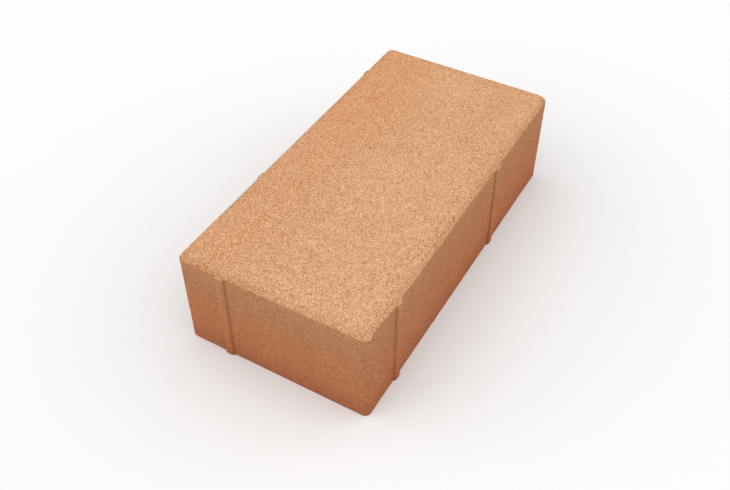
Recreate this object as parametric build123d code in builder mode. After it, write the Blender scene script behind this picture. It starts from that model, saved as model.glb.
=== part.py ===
from build123d import *
import os

# A rectangular concrete paving stone, pressed as one piece, lying flat on its bed face.
# Frame: origin at the centre of the bed face, +X along the length, +Y across the
# width, +Z up to the walking face. Millimetres.

# Body
length = 200.0          # along X, without the spacer nibs
width = 100.0           # along Y, without the spacer nibs
height = 55.5           # bed face to walking face
corner_radius = 3.0     # the four upright corners, full height

# Bevel all round the walking face
bevel_in = 1.8          # measured across the walking face
bevel_down = 2.5        # measured down the sides
walking_corner = 3.0    # the four corners of the walking face itself, inside the bevel

# Spacer nibs: upright ribs that keep the laid stones apart
nib_proud = 1.25        # how far a nib stands out from the side
nib_base = 5.3          # width where it meets the side
nib_crown = 4.3         # width across its crown, before the rounding
nib_crown_round = 1.2   # rounding of the crown's two long edges
nib_root = 4.0          # how deep the nib's own section reaches into the body
nib_top_in = 0.5        # bevel round the nib's top, measured inwards
nib_top_down = 0.7      # the same bevel, measured down

# Nib stations: two on each long side and one on each end, the same after half a turn
long_side_far = 72.9    # X of the nib nearer an end, on the +Y side (minus that on -Y)
long_side_near = -32.8  # X of the other nib on the +Y side (minus that on -Y)
end_offset = 26.35      # Y of the nib on the -X end (minus that on +X)

nib_top = height - bevel_down   # the nibs stop level with the lower edge of the bevel

# Each station: where the nib's centre line meets the side, and the turn about Z that
# points the nib outwards
stations = [
    (long_side_far, width / 2, 0),
    (long_side_near, width / 2, 0),
    (-long_side_far, -width / 2, 180),
    (-long_side_near, -width / 2, 180),
    (-length / 2, end_offset, 90),
    (length / 2, -end_offset, -90),
]

with BuildPart() as nib:
    with BuildSketch(Plane.XY) as nib_section:
        with BuildLine():
            Polyline(
                (-nib_base / 2, -nib_root),
                (-nib_base / 2, 0),
                (-nib_crown / 2, nib_proud),
                (nib_crown / 2, nib_proud),
                (nib_base / 2, 0),
                (nib_base / 2, -nib_root),
                close=True,
            )
        make_face()
        fillet(nib_section.vertices().group_by(Axis.Y)[-1], nib_crown_round)
    extrude(amount=nib_top)
    nib_top_face = nib.faces().sort_by(Axis.Z)[-1]
    chamfer(
        nib_top_face.edges().sort_by(Axis.Y)[-1],
        length=nib_top_in,
        length2=nib_top_down,
        reference=nib_top_face,
    )

with BuildPart() as paving_stone:
    with BuildSketch(Plane.XY):
        RectangleRounded(length, width, corner_radius)
    extrude(amount=height - bevel_down)
    # the bevel: straight from the outline of the sides to that of the walking face
    with BuildSketch(Plane.XY.offset(height - bevel_down)):
        RectangleRounded(length, width, corner_radius)
    with BuildSketch(Plane.XY.offset(height)):
        RectangleRounded(length - 2 * bevel_in, width - 2 * bevel_in, walking_corner)
    loft(ruled=True)
    for x, y, turn in stations:
        with Locations(Location((x, y, 0), (0, 0, turn))):
            add(nib.part)

paving_stone.part.label = "paving_stone"

os.makedirs("parts", exist_ok=True)
export_step(paving_stone.part, "parts/paving_stone.step")

box = paving_stone.part.bounding_box()
print("box", box.size)
print("volume mm3", paving_stone.part.volume)
print("solids", len(paving_stone.part.solids()))
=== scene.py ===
import bpy
import math
import numpy as np
from mathutils import Matrix, Vector


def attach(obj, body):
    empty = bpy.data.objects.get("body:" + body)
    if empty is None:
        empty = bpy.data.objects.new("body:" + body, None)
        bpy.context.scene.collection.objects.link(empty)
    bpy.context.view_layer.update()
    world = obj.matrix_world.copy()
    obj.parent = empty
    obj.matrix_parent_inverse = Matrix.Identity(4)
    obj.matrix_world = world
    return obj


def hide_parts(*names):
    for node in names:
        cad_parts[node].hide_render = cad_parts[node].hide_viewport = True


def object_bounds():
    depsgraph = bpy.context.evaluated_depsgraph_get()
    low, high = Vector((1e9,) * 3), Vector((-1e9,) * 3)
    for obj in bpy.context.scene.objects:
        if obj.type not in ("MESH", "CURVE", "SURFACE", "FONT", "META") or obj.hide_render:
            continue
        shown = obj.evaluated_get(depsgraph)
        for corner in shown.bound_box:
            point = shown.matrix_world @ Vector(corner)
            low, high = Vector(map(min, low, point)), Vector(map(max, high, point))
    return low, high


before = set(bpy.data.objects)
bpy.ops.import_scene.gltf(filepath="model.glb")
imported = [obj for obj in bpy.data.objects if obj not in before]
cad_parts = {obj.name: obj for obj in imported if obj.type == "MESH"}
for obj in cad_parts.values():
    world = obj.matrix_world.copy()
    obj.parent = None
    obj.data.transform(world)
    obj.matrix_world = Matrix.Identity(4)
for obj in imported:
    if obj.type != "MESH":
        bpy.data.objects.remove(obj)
cad_low, cad_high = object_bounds()

scene = bpy.context.scene

# ---------------------------------------------------------------- camera
# The lens, place and aim were solved from the straight edges of the stone.
YAW, PITCH = math.radians(29.9074), math.radians(44.5633)
EYE = Vector((-0.301199, -0.164371, 0.338573))
look = Vector((math.cos(YAW) * math.cos(PITCH), math.sin(YAW) * math.cos(PITCH), -math.sin(PITCH)))
side = Vector((math.sin(YAW), -math.cos(YAW), 0.0))
up = side.cross(look)
camera_data = bpy.data.cameras.new("camera")
camera = bpy.data.objects.new("camera", camera_data)
scene.collection.objects.link(camera)
camera_data.sensor_fit = "HORIZONTAL"
camera_data.sensor_width = 36.0
camera_data.lens = 883.4 * 36.0 / 730.0
camera_data.clip_start, camera_data.clip_end = 0.01, 50.0
camera.matrix_world = Matrix((
    (side.x, up.x, -look.x, EYE.x),
    (side.y, up.y, -look.y, EYE.y),
    (side.z, up.z, -look.z, EYE.z),
    (0, 0, 0, 1),
))
scene.camera = camera

# ---------------------------------------------------------------- real sizes, in mm, as in the part
LENGTH, WIDTH, HEIGHT = 200.0, 100.0, 55.5
CORNER = 3.0
BEVEL_IN, BEVEL_DOWN = 1.8, 2.5
NIB_PROUD = 1.2         # how far a nib's rounded crown stands out
NIB_HALF = 2.62         # half its width at the side
NIB_SHAPE = 2.6         # 2 is a half ellipse; more is fuller, with steeper flanks
LONG_FAR, LONG_NEAR = 72.9, -32.8
END_OFFSET = 26.35

# ---------------------------------------------------------------- seeded noise


def lattice_hash(cell, seed):
    """A repeatable 32-bit number for each integer cell."""
    c = cell.astype(np.int64) & 0xFFFFFFFF
    h = (c[..., 0] * 0x9E3779B1) ^ (c[..., 1] * 0x85EBCA77) ^ (c[..., 2] * 0xC2B2AE3D) ^ (seed * 0x27D4EB2F)
    h &= 0xFFFFFFFF
    for shift, factor in ((15, 0x2C1B3C6D), (12, 0x297A2D39)):
        h ^= h >> shift
        h = (h * factor) & 0xFFFFFFFF
    return h ^ (h >> 15)


_directions = np.random.default_rng(7).normal(size=(256, 3))
_directions /= np.linalg.norm(_directions, axis=1, keepdims=True)


def gradient_noise(points, wavelength, seed):
    """Smooth noise of about -1 to 1 with features near one wavelength (mm) apart."""
    p = points / wavelength
    base = np.floor(p)
    f = p - base
    base = base.astype(np.int64)
    w = f * f * f * (f * (f * 6 - 15) + 10)
    total = np.zeros(len(p))
    for corner in range(8):
        o = np.array([(corner >> k) & 1 for k in range(3)])
        g = _directions[lattice_hash(base + o, seed) & 255]
        weight = np.prod(np.where(o == 1, w, 1 - w), axis=1)
        total += weight * np.einsum("ij,ij->i", g, f - o)
    return total * 1.6


def cell_noise(points, size, seed):
    """Distance to the nearest scattered centre, in cells, and that cell's random number 0..1."""
    p = points / size
    base = np.floor(p).astype(np.int64)
    near = np.full(len(p), 9.0)
    label = np.zeros(len(p))
    for dx in (-1, 0, 1):
        for dy in (-1, 0, 1):
            for dz in (-1, 0, 1):
                cell = base + np.array([dx, dy, dz])
                h = lattice_hash(cell, seed)
                centre = cell + np.stack([h & 1023, (h >> 10) & 1023, (h >> 20) & 1023], axis=1) / 1024.0
                d = np.linalg.norm(p - centre, axis=1)
                closer = d < near
                near = np.where(closer, d, near)
                label = np.where(closer, (lattice_hash(cell, seed + 101) & 0xFFFF) / 65535.0, label)
    return near, label


def ramp(x, low, high):
    t = np.clip((x - low) / (high - low), 0, 1)
    return t * t * (3 - 2 * t)


# ---------------------------------------------------------------- columns round the stone
# A column is an upright line of vertices: the centre it is measured from, its outward
# direction, how much of the nib section it carries (0..1), and whether the coarser
# lower part of the wall keeps it.
FINE = 0.6
nib_angles = np.radians(np.linspace(-90, 90, 13))
nib_stops = [(-NIB_HALF - 1.1, 0.0), (-NIB_HALF - 0.6, 0.0), (-NIB_HALF - 0.25, 0.0), (-NIB_HALF - 0.07, 0.03)]
nib_stops += [
    (math.copysign(NIB_HALF * abs(math.sin(a)) ** (2 / NIB_SHAPE), a), max(abs(math.cos(a)) ** (2 / NIB_SHAPE), 0.12))
    for a in nib_angles
]
nib_stops += [(-s, g) for s, g in reversed(nib_stops[:4])]
nib_reach = NIB_HALF + 1.1


def side_columns(half, nibs):
    """(place along the side, nib share, kept) from -half to +half."""
    out = []
    start = -half
    for centre in sorted(nibs) + [None]:
        end = half if centre is None else centre - nib_reach
        n = max(2, 2 * round((end - start) / FINE / 2))
        for k in range(n + 1):
            if k == 0 and out:
                continue
            if k == n and centre is not None:
                continue
            out.append((start + (end - start) * k / n, 0.0, k % 2 == 0))
        if centre is not None:
            out += [(centre + s, g, True) for s, g in nib_stops]
            start = centre + nib_reach
    return out


columns = []
x_in, y_in = LENGTH / 2 - CORNER, WIDTH / 2 - CORNER
for along, normal, half, reach, nibs, turn in (
    ((1, 0), (0, -1), x_in, y_in, [-LONG_FAR, -LONG_NEAR], -90),
    ((0, 1), (1, 0), y_in, x_in, [-END_OFFSET], 0),
    ((-1, 0), (0, 1), x_in, y_in, [-LONG_FAR, -LONG_NEAR], 90),
    ((0, -1), (-1, 0), y_in, x_in, [-END_OFFSET], 180),
):
    run = side_columns(half, nibs)
    for s, g, kept in run:
        # inside the bevel the flat side is shorter, so its last 14 mm draw together
        pull = math.copysign(max(0.0, 1 - (half - abs(s)) / 14), s)
        columns.append((
            along[0] * s + normal[0] * reach, along[1] * s + normal[1] * reach, *normal, g, kept,
            along[0] * pull, along[1] * pull, 0.0,
        ))
    cx, cy = along[0] * half + normal[0] * reach, along[1] * half + normal[1] * reach
    for k in range(1, 8):
        a = math.radians(turn + 90 * k / 8)
        columns.append((cx, cy, math.cos(a), math.sin(a), 0.0, True, math.copysign(1, cx), math.copysign(1, cy), 1.0))
columns = np.array([[float(v) for v in c] for c in columns])
centre_xy, normal_xy, nib_share = columns[:, 0:2], columns[:, 2:4], columns[:, 4]
kept = np.flatnonzero(columns[:, 5] > 0.5)
pull_xy, at_corner = columns[:, 6:8], columns[:, 8]

# ---------------------------------------------------------------- rings, from the walking face down to the bed
vertices, faces = [], []


def add(points):
    first = len(vertices)
    vertices.extend(points)
    return list(range(first, first + len(points)))


def ring(inset, z, chosen=None, nib_out=1.0, nib_z=None):
    """inset is measured inwards from the flat sides; where a nib is, the ring runs nib_out of its section outwards."""
    rows = np.arange(len(columns)) if chosen is None else chosen
    share = nib_share[rows]
    # the corners keep their radius up to the walking face
    kept_radius = min(inset, BEVEL_IN)
    r = CORNER - inset + kept_radius * at_corner[rows] + NIB_PROUD * share * nib_out
    level = np.full(len(rows), z)
    if nib_z is not None:
        level = z + (nib_z - z) * ramp(share, 0.0, 0.5)
    xy = centre_xy[rows] - pull_xy[rows] * kept_radius + normal_xy[rows] * r[:, None]
    return add([(x, y, h) for (x, y), h in zip(xy.tolist(), level.tolist())])


def bridge(a, b):
    n = len(a)
    for i in range(n):
        j = (i + 1) % n
        faces.append((a[i], b[i], b[j], a[j]))


def apart(i, j):
    a, b = vertices[i], vertices[j]
    return (a[0] - b[0]) ** 2 + (a[1] - b[1]) ** 2 + (a[2] - b[2]) ** 2


def zip_rings(a, b):
    """Joins two rings of different counts that start near each other, with triangles."""
    i = j = 0
    while i < len(a) or j < len(b):
        a0, a1 = a[i % len(a)], a[(i + 1) % len(a)]
        b0, b1 = b[j % len(b)], b[(j + 1) % len(b)]
        if i < len(a) and (j >= len(b) or apart(a1, b0) <= apart(a0, b1)):
            faces.append((a0, b0, a1))
            i += 1
        else:
            faces.append((a0, b0, b1))
            j += 1


def thin_out(a, b):
    """Joins a full ring to one that has only the kept columns."""
    full = len(a)
    for k in range(len(kept)):
        c0, c1 = b[k], b[(k + 1) % len(kept)]
        f0, f1 = kept[k], kept[(k + 1) % len(kept)]
        span = (f1 - f0) % full
        if span == 1:
            faces.append((a[f0], c0, c1, a[f1]))
        else:
            middle = a[(f0 + 1) % full]
            faces.append((a[f0], c0, middle))
            faces.append((middle, c0, c1))
            faces.append((middle, c1, a[f1]))


def plate(half_x, half_y, step, z, upwards):
    """A flat grid; returns the ring of its border, counter-clockwise from its -X -Y corner."""
    nx, ny = round(2 * half_x / step), round(2 * half_y / step)
    xs, ys = np.linspace(-half_x, half_x, nx + 1), np.linspace(-half_y, half_y, ny + 1)
    ids = np.array(add([(x, y, z) for x in xs.tolist() for y in ys.tolist()])).reshape(nx + 1, ny + 1)
    for i in range(nx):
        for j in range(ny):
            q = (ids[i, j], ids[i + 1, j], ids[i + 1, j + 1], ids[i, j + 1])
            faces.append(tuple(int(v) for v in (q if upwards else q[::-1])))
    border = list(ids[:-1, 0]) + list(ids[-1, :-1]) + list(ids[:0:-1, -1]) + list(ids[0, :0:-1])
    return [int(v) for v in border]


TOP_STEP = 0.62
inner = plate(LENGTH / 2 - 3.95, WIDTH / 2 - 3.95, TOP_STEP, HEIGHT, True)
previous = ring(3.3, HEIGHT, nib_out=0)
zip_rings(inner, previous)
current = ring(2.75, HEIGHT, nib_out=0)
bridge(previous, current)
previous = current
slope = BEVEL_DOWN / BEVEL_IN
lower = HEIGHT - BEVEL_DOWN
upper_rows = [
    (2.25, HEIGHT), (1.95, HEIGHT - 0.01), (1.8, HEIGHT - 0.05), (1.67, HEIGHT - 0.21),
    (1.3, HEIGHT - slope * 0.5), (0.9, HEIGHT - slope * 0.9), (0.5, HEIGHT - slope * 1.3),
    (0.17, lower + slope * 0.17),
]
for inset, z in upper_rows:
    current = ring(inset, z, nib_out=0)
    bridge(previous, current)
    previous = current
# the lower arris of the bevel, and the tops of the nibs
for inset, z, nib_out, nib_z in (
    (0.03, lower - 0.02, 0.0, lower + 0.05),
    (0.0, lower - 0.12, 0.34, lower + 0.03),
    (0.0, lower - 0.24, 0.58, lower),
    (0.0, lower - 0.36, 0.74, lower - 0.18),
    (0.0, lower - 0.6, 0.91, lower - 0.46),
    (0.0, lower - 1.0, 0.99, lower - 0.85),
    (0.0, lower - 1.5, 1.0, lower - 1.4),
    (0.0, lower - 2.1, 1.0, lower - 2.1),
):
    current = ring(inset, z, nib_out=nib_out, nib_z=nib_z)
    bridge(previous, current)
    previous = current
wall_top, wall_foot = lower - 2.1, 0.16
wall_rows = round((wall_top - wall_foot) / 1.08)
for k in range(1, wall_rows + 1):
    z = wall_top + (wall_foot - wall_top) * k / wall_rows
    current = ring(0.0, z, kept)
    if k == 1:
        thin_out(previous, current)
    else:
        bridge(previous, current)
    previous = current
for inset, z, nib_out in ((0.045, 0.045, 1.0), (0.16, 0.0, 1.0), (1.6, 0.0, 0.0)):
    current = ring(inset, z, kept, nib_out=nib_out)
    bridge(previous, current)
    previous = current
bed = plate(LENGTH / 2 - 3.3, WIDTH / 2 - 3.3, 2.5, 0.0, False)
zip_rings(previous, bed)

points = np.array(vertices, float)

# ---------------------------------------------------------------- relief
triangles = np.array([t for f in faces for t in ((f[0], f[1], f[2]),) + (((f[0], f[2], f[3]),) if len(f) == 4 else ())])


def vertex_normals(p):
    n = np.cross(p[triangles[:, 1]] - p[triangles[:, 0]], p[triangles[:, 2]] - p[triangles[:, 0]])
    total = np.zeros_like(p)
    for k in range(3):
        np.add.at(total, triangles[:, k], n)
    return total / np.maximum(np.linalg.norm(total, axis=1, keepdims=True), 1e-12)


normals = vertex_normals(points)
x, y, z = points.T
on_top = ramp(z, lower - 0.35, lower - 0.05)            # walking face, bevel and nib tops
on_bed = ramp(z, 0.35, 0.0)
# the flat side that each point is nearest to, for wear along the arrises
out = np.maximum(np.abs(x) - LENGTH / 2, np.abs(y) - WIDTH / 2)
# how far each point is inside the walking face's own outline, with its round corners
corner_x, corner_y = np.abs(x) - (x_in - BEVEL_IN), np.abs(y) - (y_in - BEVEL_IN)
inside_edge = CORNER - np.where(
    (corner_x > 0) & (corner_y > 0), np.hypot(corner_x, corner_y), np.maximum(corner_x, corner_y)
)
upper_arris = np.exp(-(inside_edge ** 2 + (z - HEIGHT) ** 2) / 0.55 ** 2)
lower_arris = np.exp(-(np.minimum(out, 0) ** 2 + (z - lower) ** 2) / 0.5 ** 2)
foot_arris = np.exp(-(np.minimum(out, 0) ** 2 + z ** 2) / 0.6 ** 2)

grain_distance, grain_label = cell_noise(points, 1.55, 11)
grains = (0.55 - grain_distance) * (0.45 + 0.8 * grain_label)
fine = gradient_noise(points, 1.35, 21)
medium = gradient_noise(points, 3.4, 22)
broad = gradient_noise(points, 13.0, 23)
wavy = gradient_noise(points, 46.0, 24)
pit_distance, pit_label = cell_noise(points, 4.2, 31)
pit_reach = 0.1 + 0.16 * pit_label
pits = (1 - ramp(pit_distance, 0.35 * pit_reach, pit_reach)) * (pit_label > 0.55)
pore_distance, pore_label = cell_noise(points, 7.5, 32)
pore_reach = 0.07 + 0.09 * pore_label
pores = (1 - ramp(pore_distance, 0.4 * pore_reach, pore_reach)) * (pore_label > 0.5)

# millimetres outwards along the surface
top_relief = 0.075 * grains + 0.045 * fine + 0.035 * medium + 0.03 * broad + 0.03 * wavy - 0.22 * pits
side_relief = 0.03 + 0.045 * grains + 0.028 * fine + 0.03 * medium + 0.03 * broad + 0.04 * wavy - 0.25 * pores
relief = side_relief + (top_relief - side_relief) * on_top
# the upper arris is straighter than the faces beside it
relief *= 1 - 0.6 * upper_arris
# broken sand grains along the arrises
crumble = gradient_noise(points, 2.1, 41) + 0.6 * gradient_noise(points, 5.5, 42)
relief -= upper_arris * 0.045 * np.maximum(crumble, -0.4)
relief -= lower_arris * (0.03 + 0.13 * np.maximum(crumble, -0.5))
relief -= foot_arris * 0.08 * np.maximum(crumble, 0.0)
# a few small chips
chip_distance, chip_label = cell_noise(points, 9.0, 43)
chips = (1 - ramp(chip_distance, 0.02, 0.13)) * (chip_label > 0.6)
relief -= chips * (0.08 * upper_arris + 0.28 * lower_arris + 0.3 * foot_arris)

points += normals * relief[:, None]
# how light each point is: pits and pores are darker, as painted shade in those hollows; the bevel, its upper arris and
# a band inside the bevel are darker too
bevel = 1 - ramp(z, HEIGHT - 0.5, HEIGHT - 0.05)
tone_and_painted_shade = 1 - 0.035 * (1 - ramp(inside_edge, 0.5, 7.0)) - 0.055 * bevel - 0.085 * upper_arris
# painted shade: the bevel of the -X end is darker than the others
tone_and_painted_shade -= 0.055 * bevel * ramp(-x, LENGTH / 2 - BEVEL_IN, LENGTH / 2 - 0.6)
# painted shade in the pits of the walking face and in the pores of the sides
tone_and_painted_shade -= 0.16 * pits * on_top + 0.2 * pores * (1 - on_top)
# the raised grains are paler and the hollows between them darker: partly the grains' own colour, partly painted shade
tone_and_painted_shade += 0.07 * (grains - 0.1) * (0.4 + 0.6 * on_top)
# below the bevel only the pores' painted shade and the grains' tone are kept
tone_and_painted_shade = np.where(z > lower - 0.6, tone_and_painted_shade, 1 - 0.2 * pores + 0.05 * (grains - 0.1))
# a worn stretch of the bevel's lower edge, on the -Y side near the -X end
worn = np.exp(-((x + 90) / 6.5) ** 4 - ((y + WIDTH / 2) / 2.5) ** 4) * ramp(z, lower - 1.5, lower - 0.3)
tone_and_painted_shade -= 0.03 * worn * ramp(HEIGHT - z, 0.3, 1.2)
# millimetres above the line where the paler upper skin of the stone ends
skin = z - (lower - 0.33) - 0.16 + 0.09 * y / (WIDTH / 2) - 0.14 * wavy - 0.18 * broad - 0.7 * worn
# painted shade darkens the creases beside the nibs, and a painted highlight lightens their crowns
for cx, cy, along_x in (
    (LONG_FAR, WIDTH / 2, True), (LONG_NEAR, WIDTH / 2, True), (-LONG_FAR, -WIDTH / 2, True),
    (-LONG_NEAR, -WIDTH / 2, True), (-LENGTH / 2, END_OFFSET, False), (LENGTH / 2, -END_OFFSET, False),
):
    s, facing = (x - cx, y * cy) if along_x else (y - cy, x * cx)
    level = (np.abs(y) - WIDTH / 2) if along_x else (np.abs(x) - LENGTH / 2)
    here = (facing > 0) & (level > -0.4) & (z < lower + 0.1)
    painted_crease_shade = np.exp(-((np.abs(s) - NIB_HALF + 0.2) / 0.6) ** 2)
    painted_crown_highlight = 1 - ramp(np.abs(s), 1.2, 2.3)
    tone_and_painted_shade += here * (0.024 * painted_crown_highlight - 0.06 * painted_crease_shade)
    # the nibs' own tops are pale too
    nib_here = (facing > 0) & (level > -0.4)
    over_nib = nib_here * ramp(NIB_HALF + 0.6 - np.abs(s), 0.0, 0.6)
    skin += over_nib * (z - (lower - 0.5) - skin)
# nothing stands out of the real stone's box
points[:, 2] = np.clip(points[:, 2] - 0.05 * ramp(z, lower, HEIGHT), 0.0, HEIGHT)
points[:, 0] = np.clip(points[:, 0], cad_low.x * 1000, cad_high.x * 1000)
points[:, 1] = np.clip(points[:, 1], cad_low.y * 1000, cad_high.y * 1000)

mesh = bpy.data.meshes.new("paving_stone_surface")
mesh.from_pydata((points / 1000).tolist(), [], faces)
mesh.polygons.foreach_set("use_smooth", [True] * len(mesh.polygons))
mesh.update()
for name, values in (("tone_and_painted_shade", tone_and_painted_shade), ("skin", skin)):
    mesh.attributes.new(name, "FLOAT", "POINT").data.foreach_set("value", values.astype(np.float32))
stone = bpy.data.objects.new("pressed_concrete_stone", mesh)
scene.collection.objects.link(stone)
print("stone triangles", len(triangles), "vertices", len(points))

# ---------------------------------------------------------------- concrete
material = bpy.data.materials.new("concrete")
material.use_nodes = True
tree = material.node_tree
bsdf = tree.nodes["Principled BSDF"]


def node(kind, **settings):
    n = tree.nodes.new(kind)
    for key, value in settings.items():
        setattr(n, key, value)
    return n


def link(source, target):
    tree.links.new(source, target)


def math_node(operation, a, b=None, clamp=False):
    n = node("ShaderNodeMath", operation=operation, use_clamp=clamp)
    for socket, value in zip(n.inputs, (a, b)):
        if value is None:
            continue
        if isinstance(value, (int, float)):
            socket.default_value = value
        else:
            link(value, socket)
    return n.outputs[0]


def noise(scale, detail, roughness, offset=0.0):
    n = node("ShaderNodeTexNoise", noise_dimensions="3D")
    n.inputs["Scale"].default_value = scale
    n.inputs["Detail"].default_value = detail
    n.inputs["Roughness"].default_value = roughness
    shifted = node("ShaderNodeVectorMath", operation="ADD")
    link(millimetres, shifted.inputs[0])
    shifted.inputs[1].default_value = (offset, offset * 0.7, -offset * 0.4)
    link(shifted.outputs[0], n.inputs["Vector"])
    return n.outputs[0]


def cells(scale, position=None, dimensions="3D"):
    """Scattered centres: distance to the nearest, in cells, and two random numbers of that cell."""
    n = node("ShaderNodeTexVoronoi", voronoi_dimensions=dimensions, feature="F1")
    n.inputs["Scale"].default_value = scale
    link(position or millimetres, n.inputs["Vector"])
    separate = node("ShaderNodeSeparateColor")
    link(n.outputs["Color"], separate.inputs[0])
    return n.outputs["Distance"], separate.outputs[0], separate.outputs[1]


def mix_colour(factor, a, b, blend="MIX"):
    n = node("ShaderNodeMix", data_type="RGBA", blend_type=blend)
    for socket, value in ((n.inputs[0], factor), (n.inputs[6], a), (n.inputs[7], b)):
        if isinstance(value, (int, float)):
            socket.default_value = value
        elif isinstance(value, tuple):
            socket.default_value = (*value, 1.0)
        else:
            link(value, socket)
    return n.outputs[2]


def colour_ramp(factor, stops):
    n = node("ShaderNodeValToRGB")
    elements = n.color_ramp.elements
    while len(elements) < len(stops):
        elements.new(0.5)
    for element, (position, value) in zip(elements, stops):
        element.position = position
        element.color = (*value, 1.0)
    link(factor, n.inputs[0])
    return n.outputs[0]


def centred(value, gain, middle=0.5):
    """(value - middle) * gain"""
    return math_node("MULTIPLY", math_node("SUBTRACT", value, middle), gain)


def step_up(value, start, end):
    """0 below start, 1 above end; the other way round if start is above end."""
    return math_node("DIVIDE", math_node("SUBTRACT", value, start), end - start, clamp=True)


def total(*values):
    result = values[0]
    for value in values[1:]:
        result = math_node("ADD", result, value)
    return result


coordinates = node("ShaderNodeTexCoord")
scaled = node("ShaderNodeVectorMath", operation="SCALE")
link(coordinates.outputs["Object"], scaled.inputs[0])
scaled.inputs["Scale"].default_value = 1000.0
millimetres = scaled.outputs[0]
axes = node("ShaderNodeSeparateXYZ")
link(millimetres, axes.inputs[0])
height = axes.outputs[2]

# the grains' outlines wander, so they don't read as straight-sided cells
warp = node("ShaderNodeTexNoise", noise_dimensions="3D")
warp.inputs["Scale"].default_value = 2.4
warp.inputs["Detail"].default_value = 1.0
link(millimetres, warp.inputs["Vector"])
shift = node("ShaderNodeVectorMath", operation="MULTIPLY_ADD")
link(warp.outputs["Color"], shift.inputs[0])
shift.inputs[1].default_value = (0.5, 0.5, 0.5)
link(millimetres, shift.inputs[2])
wandering = shift.outputs[0]

sand_gap, sand, _ = cells(2.4, wandering)               # sand grains of 0.4 mm
grit_gap, grit, grit_tint = cells(0.95, wandering)      # scattered coarser grains
pore_gap, pore, pore_size = cells(0.42, wandering)      # open pores
grain_noise = noise(2.1, 2.0, 0.6, 3.0)
blotch = noise(0.11, 3.0, 0.55, 11.0)
cloud = noise(0.022, 2.0, 0.5, 17.0)
tone_and_painted_shade = node("ShaderNodeAttribute", attribute_name="tone_and_painted_shade").outputs["Fac"]
skin = node("ShaderNodeAttribute", attribute_name="skin").outputs["Fac"]
# faint upright marks from the stone leaving its mould
stretched = node("ShaderNodeVectorMath", operation="MULTIPLY")
link(millimetres, stretched.inputs[0])
stretched.inputs[1].default_value = (0.9, 0.9, 0.035)
drag_noise = node("ShaderNodeTexNoise", noise_dimensions="3D")
drag_noise.inputs["Scale"].default_value = 1.0
drag_noise.inputs["Detail"].default_value = 2.0
link(stretched.outputs[0], drag_noise.inputs["Vector"])
drag = drag_noise.outputs[0]

coarse = math_node("MULTIPLY", step_up(grit, 0.78, 0.80), step_up(grit_gap, 0.46, 0.30))
pore_gap = math_node("ADD", pore_gap, math_node("MULTIPLY", pore_size, 0.12))
pores = math_node("MULTIPLY", step_up(pore, 0.86, 0.89), step_up(pore_gap, 0.24, 0.15))
# the bed face is more open, with wider hollows between clumps of grains
on_bed = step_up(height, 0.12, 0.03)
hollow_gap, hollow, hollow_size = cells(0.36, wandering, "2D")
hollow_gap = total(hollow_gap, math_node("MULTIPLY", hollow_size, 0.2), centred(grain_noise, 0.35))
hollows = math_node("MULTIPLY", step_up(hollow, 0.62, 0.66), step_up(hollow_gap, 0.36, 0.2))
hollows = math_node("MULTIPLY", hollows, on_bed)
pores = math_node("MAXIMUM", pores, hollows)

grain = total(centred(sand, 0.8), centred(sand_gap, -1.15, 0.545), centred(grain_noise, 1.4))
grain = math_node("ADD", grain, math_node("MULTIPLY", coarse, centred(grit_tint, 0.93)))
clouds = math_node("ADD", centred(blotch, 0.2), centred(cloud, 0.15))

# where the paler walking face, bevel and nib tops stop, broken up by the grains
pale = step_up(math_node("ADD", skin, centred(grain_noise, 0.9)), -0.11, 0.11)

# pigmented cement between paler sand grains
TOP_DARK, TOP_LIGHT = (0.3955, 0.140, 0.032), (0.8025, 0.501, 0.306)
top_colour = mix_colour(math_node("ADD", total(grain, clouds), 0.5, clamp=True), TOP_DARK, TOP_LIGHT)
# painted shade: the walking face is a little darker and more ochre along its +Y side, where less light falls on it; it
# is also a little deeper and more ochre in its +X half, and the bevel too
for factor, tint in (
    (step_up(math_node("ADD", axes.outputs[1], centred(blotch, 30.0)), 2.0, 28.0), (0.96, 0.915, 0.86)),
    (step_up(math_node("ADD", axes.outputs[0], centred(blotch, 40.0)), -8.0, 30.0), (0.99, 0.972, 0.935)),
    (step_up(height, HEIGHT - 0.15, HEIGHT - 0.5), (0.99, 0.96, 0.92)),
):
    top_colour = mix_colour(1.0, top_colour, mix_colour(factor, (1.0, 1.0, 1.0), tint), "MULTIPLY")

# the sides are redder lower down, and darkest at the foot, where the darkening is painted shade beside the floor
side_level = math_node("DIVIDE", height, lower, clamp=True)
side_base_and_foot_shade = colour_ramp(side_level, [
    (0.0, (0.318, 0.107, 0.046)),
    (0.27, (0.388, 0.140, 0.059)),
    (0.6, (0.384, 0.155, 0.069)),
    (1.0, (0.386, 0.185, 0.085)),
])
side_value = total(math_node("MULTIPLY", grain, 0.96), math_node("MULTIPLY", clouds, 0.6), centred(drag, 0.35))
side_grain = mix_colour(math_node("ADD", side_value, 0.5, clamp=True), (0.73, 0.62, 0.52), (1.27, 1.38, 1.48))
side_colour = mix_colour(1.0, side_base_and_foot_shade, side_grain, "MULTIPLY")

colour = mix_colour(pale, side_colour, top_colour)
# painted shade in the pores and in the bed face's hollows
pore_shade_and_grit_tint = math_node("SUBTRACT", 1.0, math_node("MULTIPLY", pores, 0.3))
# the coarser grains are darker or paler than the sand between them
pore_shade_and_grit_tint = math_node("ADD", pore_shade_and_grit_tint, math_node("MULTIPLY", coarse, centred(grit_tint, 0.42, 0.56)))
colour = mix_colour(1.0, colour, math_node("MULTIPLY", tone_and_painted_shade, pore_shade_and_grit_tint), "MULTIPLY")
link(colour, bsdf.inputs["Base Color"])
link(total(math_node("MULTIPLY", sand, 0.12), 0.86), bsdf.inputs["Roughness"])
bsdf.inputs["Specular IOR Level"].default_value = 0.08

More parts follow.
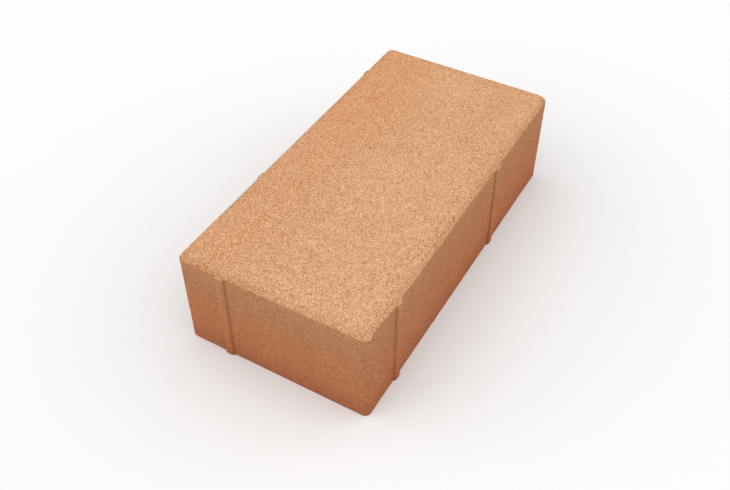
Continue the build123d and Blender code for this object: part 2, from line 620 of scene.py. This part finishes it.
bump = node("ShaderNodeBump")
bump.inputs["Strength"].default_value = 1.0
bump.inputs["Distance"].default_value = 0.00012
bump_height = total(
    math_node("MULTIPLY", sand_gap, -0.8), math_node("MULTIPLY", sand, 0.25), math_node("MULTIPLY", grain_noise, 1.0),
    math_node("MULTIPLY", coarse, 0.5), math_node("MULTIPLY", pores, -1.6),
)
link(bump_height, bump.inputs["Height"])
link(bump.outputs[0], bsdf.inputs["Normal"])

mesh.materials.append(material)
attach(stone, "root")
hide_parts("paving_stone")

# ---------------------------------------------------------------- floor and light
# the floor stops just inside the stone's outline, so that the bed face shows from below
floor_mesh = bpy.data.meshes.new("floor")
floor_mesh.from_pydata(
    [(sx * hx, sy * hy, -0.00003) for hx, hy in ((6, 6), (0.096, 0.046)) for sx, sy in ((-1, -1), (1, -1), (1, 1), (-1, 1))],
    [], [(0, 1, 5, 4), (1, 2, 6, 5), (2, 3, 7, 6), (3, 0, 4, 7)],
)
floor = bpy.data.objects.new("floor", floor_mesh)
scene.collection.objects.link(floor)
floor_material = bpy.data.materials.new("floor")
floor_material.use_nodes = True
floor_bsdf = floor_material.node_tree.nodes["Principled BSDF"]
floor_bsdf.inputs["Base Color"].default_value = (0.8, 0.8, 0.8, 1)
floor_bsdf.inputs["Roughness"].default_value = 1.0
floor_bsdf.inputs["Specular IOR Level"].default_value = 0.0
floor_mesh.materials.append(floor_material)

# soft light from all round: stronger from the -X side than from the +X side, and stronger
# along the diagonal from +X -Y to -X +Y than along the other one
LIGHT_LEVEL = 1.161
LIGHT_LEAN = (-0.259, -0.011, 0.0)
LIGHT_SPREAD = ((-0.161, -0.641, 0.0), (-0.641, 0.161, 0.0), (0.0, 0.0, 0.153))
world = bpy.data.worlds.new("world")
world.use_nodes = True
sky = world.node_tree
direction = sky.nodes.new("ShaderNodeTexCoord").outputs["Generated"]


def sky_dot(a, b):
    n = sky.nodes.new("ShaderNodeVectorMath")
    n.operation = "DOT_PRODUCT"
    for socket, value in zip(n.inputs, (a, b)):
        if isinstance(value, tuple):
            socket.default_value = value
        else:
            sky.links.new(value, socket)
    return n.outputs["Value"]


def sky_sum(a, b):
    n = sky.nodes.new("ShaderNodeMath")
    n.operation = "ADD"
    for socket, value in zip(n.inputs, (a, b)):
        if isinstance(value, float):
            socket.default_value = value
        else:
            sky.links.new(value, socket)
    return n.outputs[0]


spread = sky.nodes.new("ShaderNodeCombineXYZ")
for row, socket in zip(LIGHT_SPREAD, spread.inputs):
    sky.links.new(sky_dot(direction, row), socket)
strength = sky_sum(sky_sum(sky_dot(direction, spread.outputs[0]), sky_dot(direction, LIGHT_LEAN)), LIGHT_LEVEL)
sky.nodes["Background"].inputs[0].default_value = (1, 1, 1, 1)
sky.links.new(strength, sky.nodes["Background"].inputs[1])
scene.world = world
scene.view_settings.view_transform = "Standard"
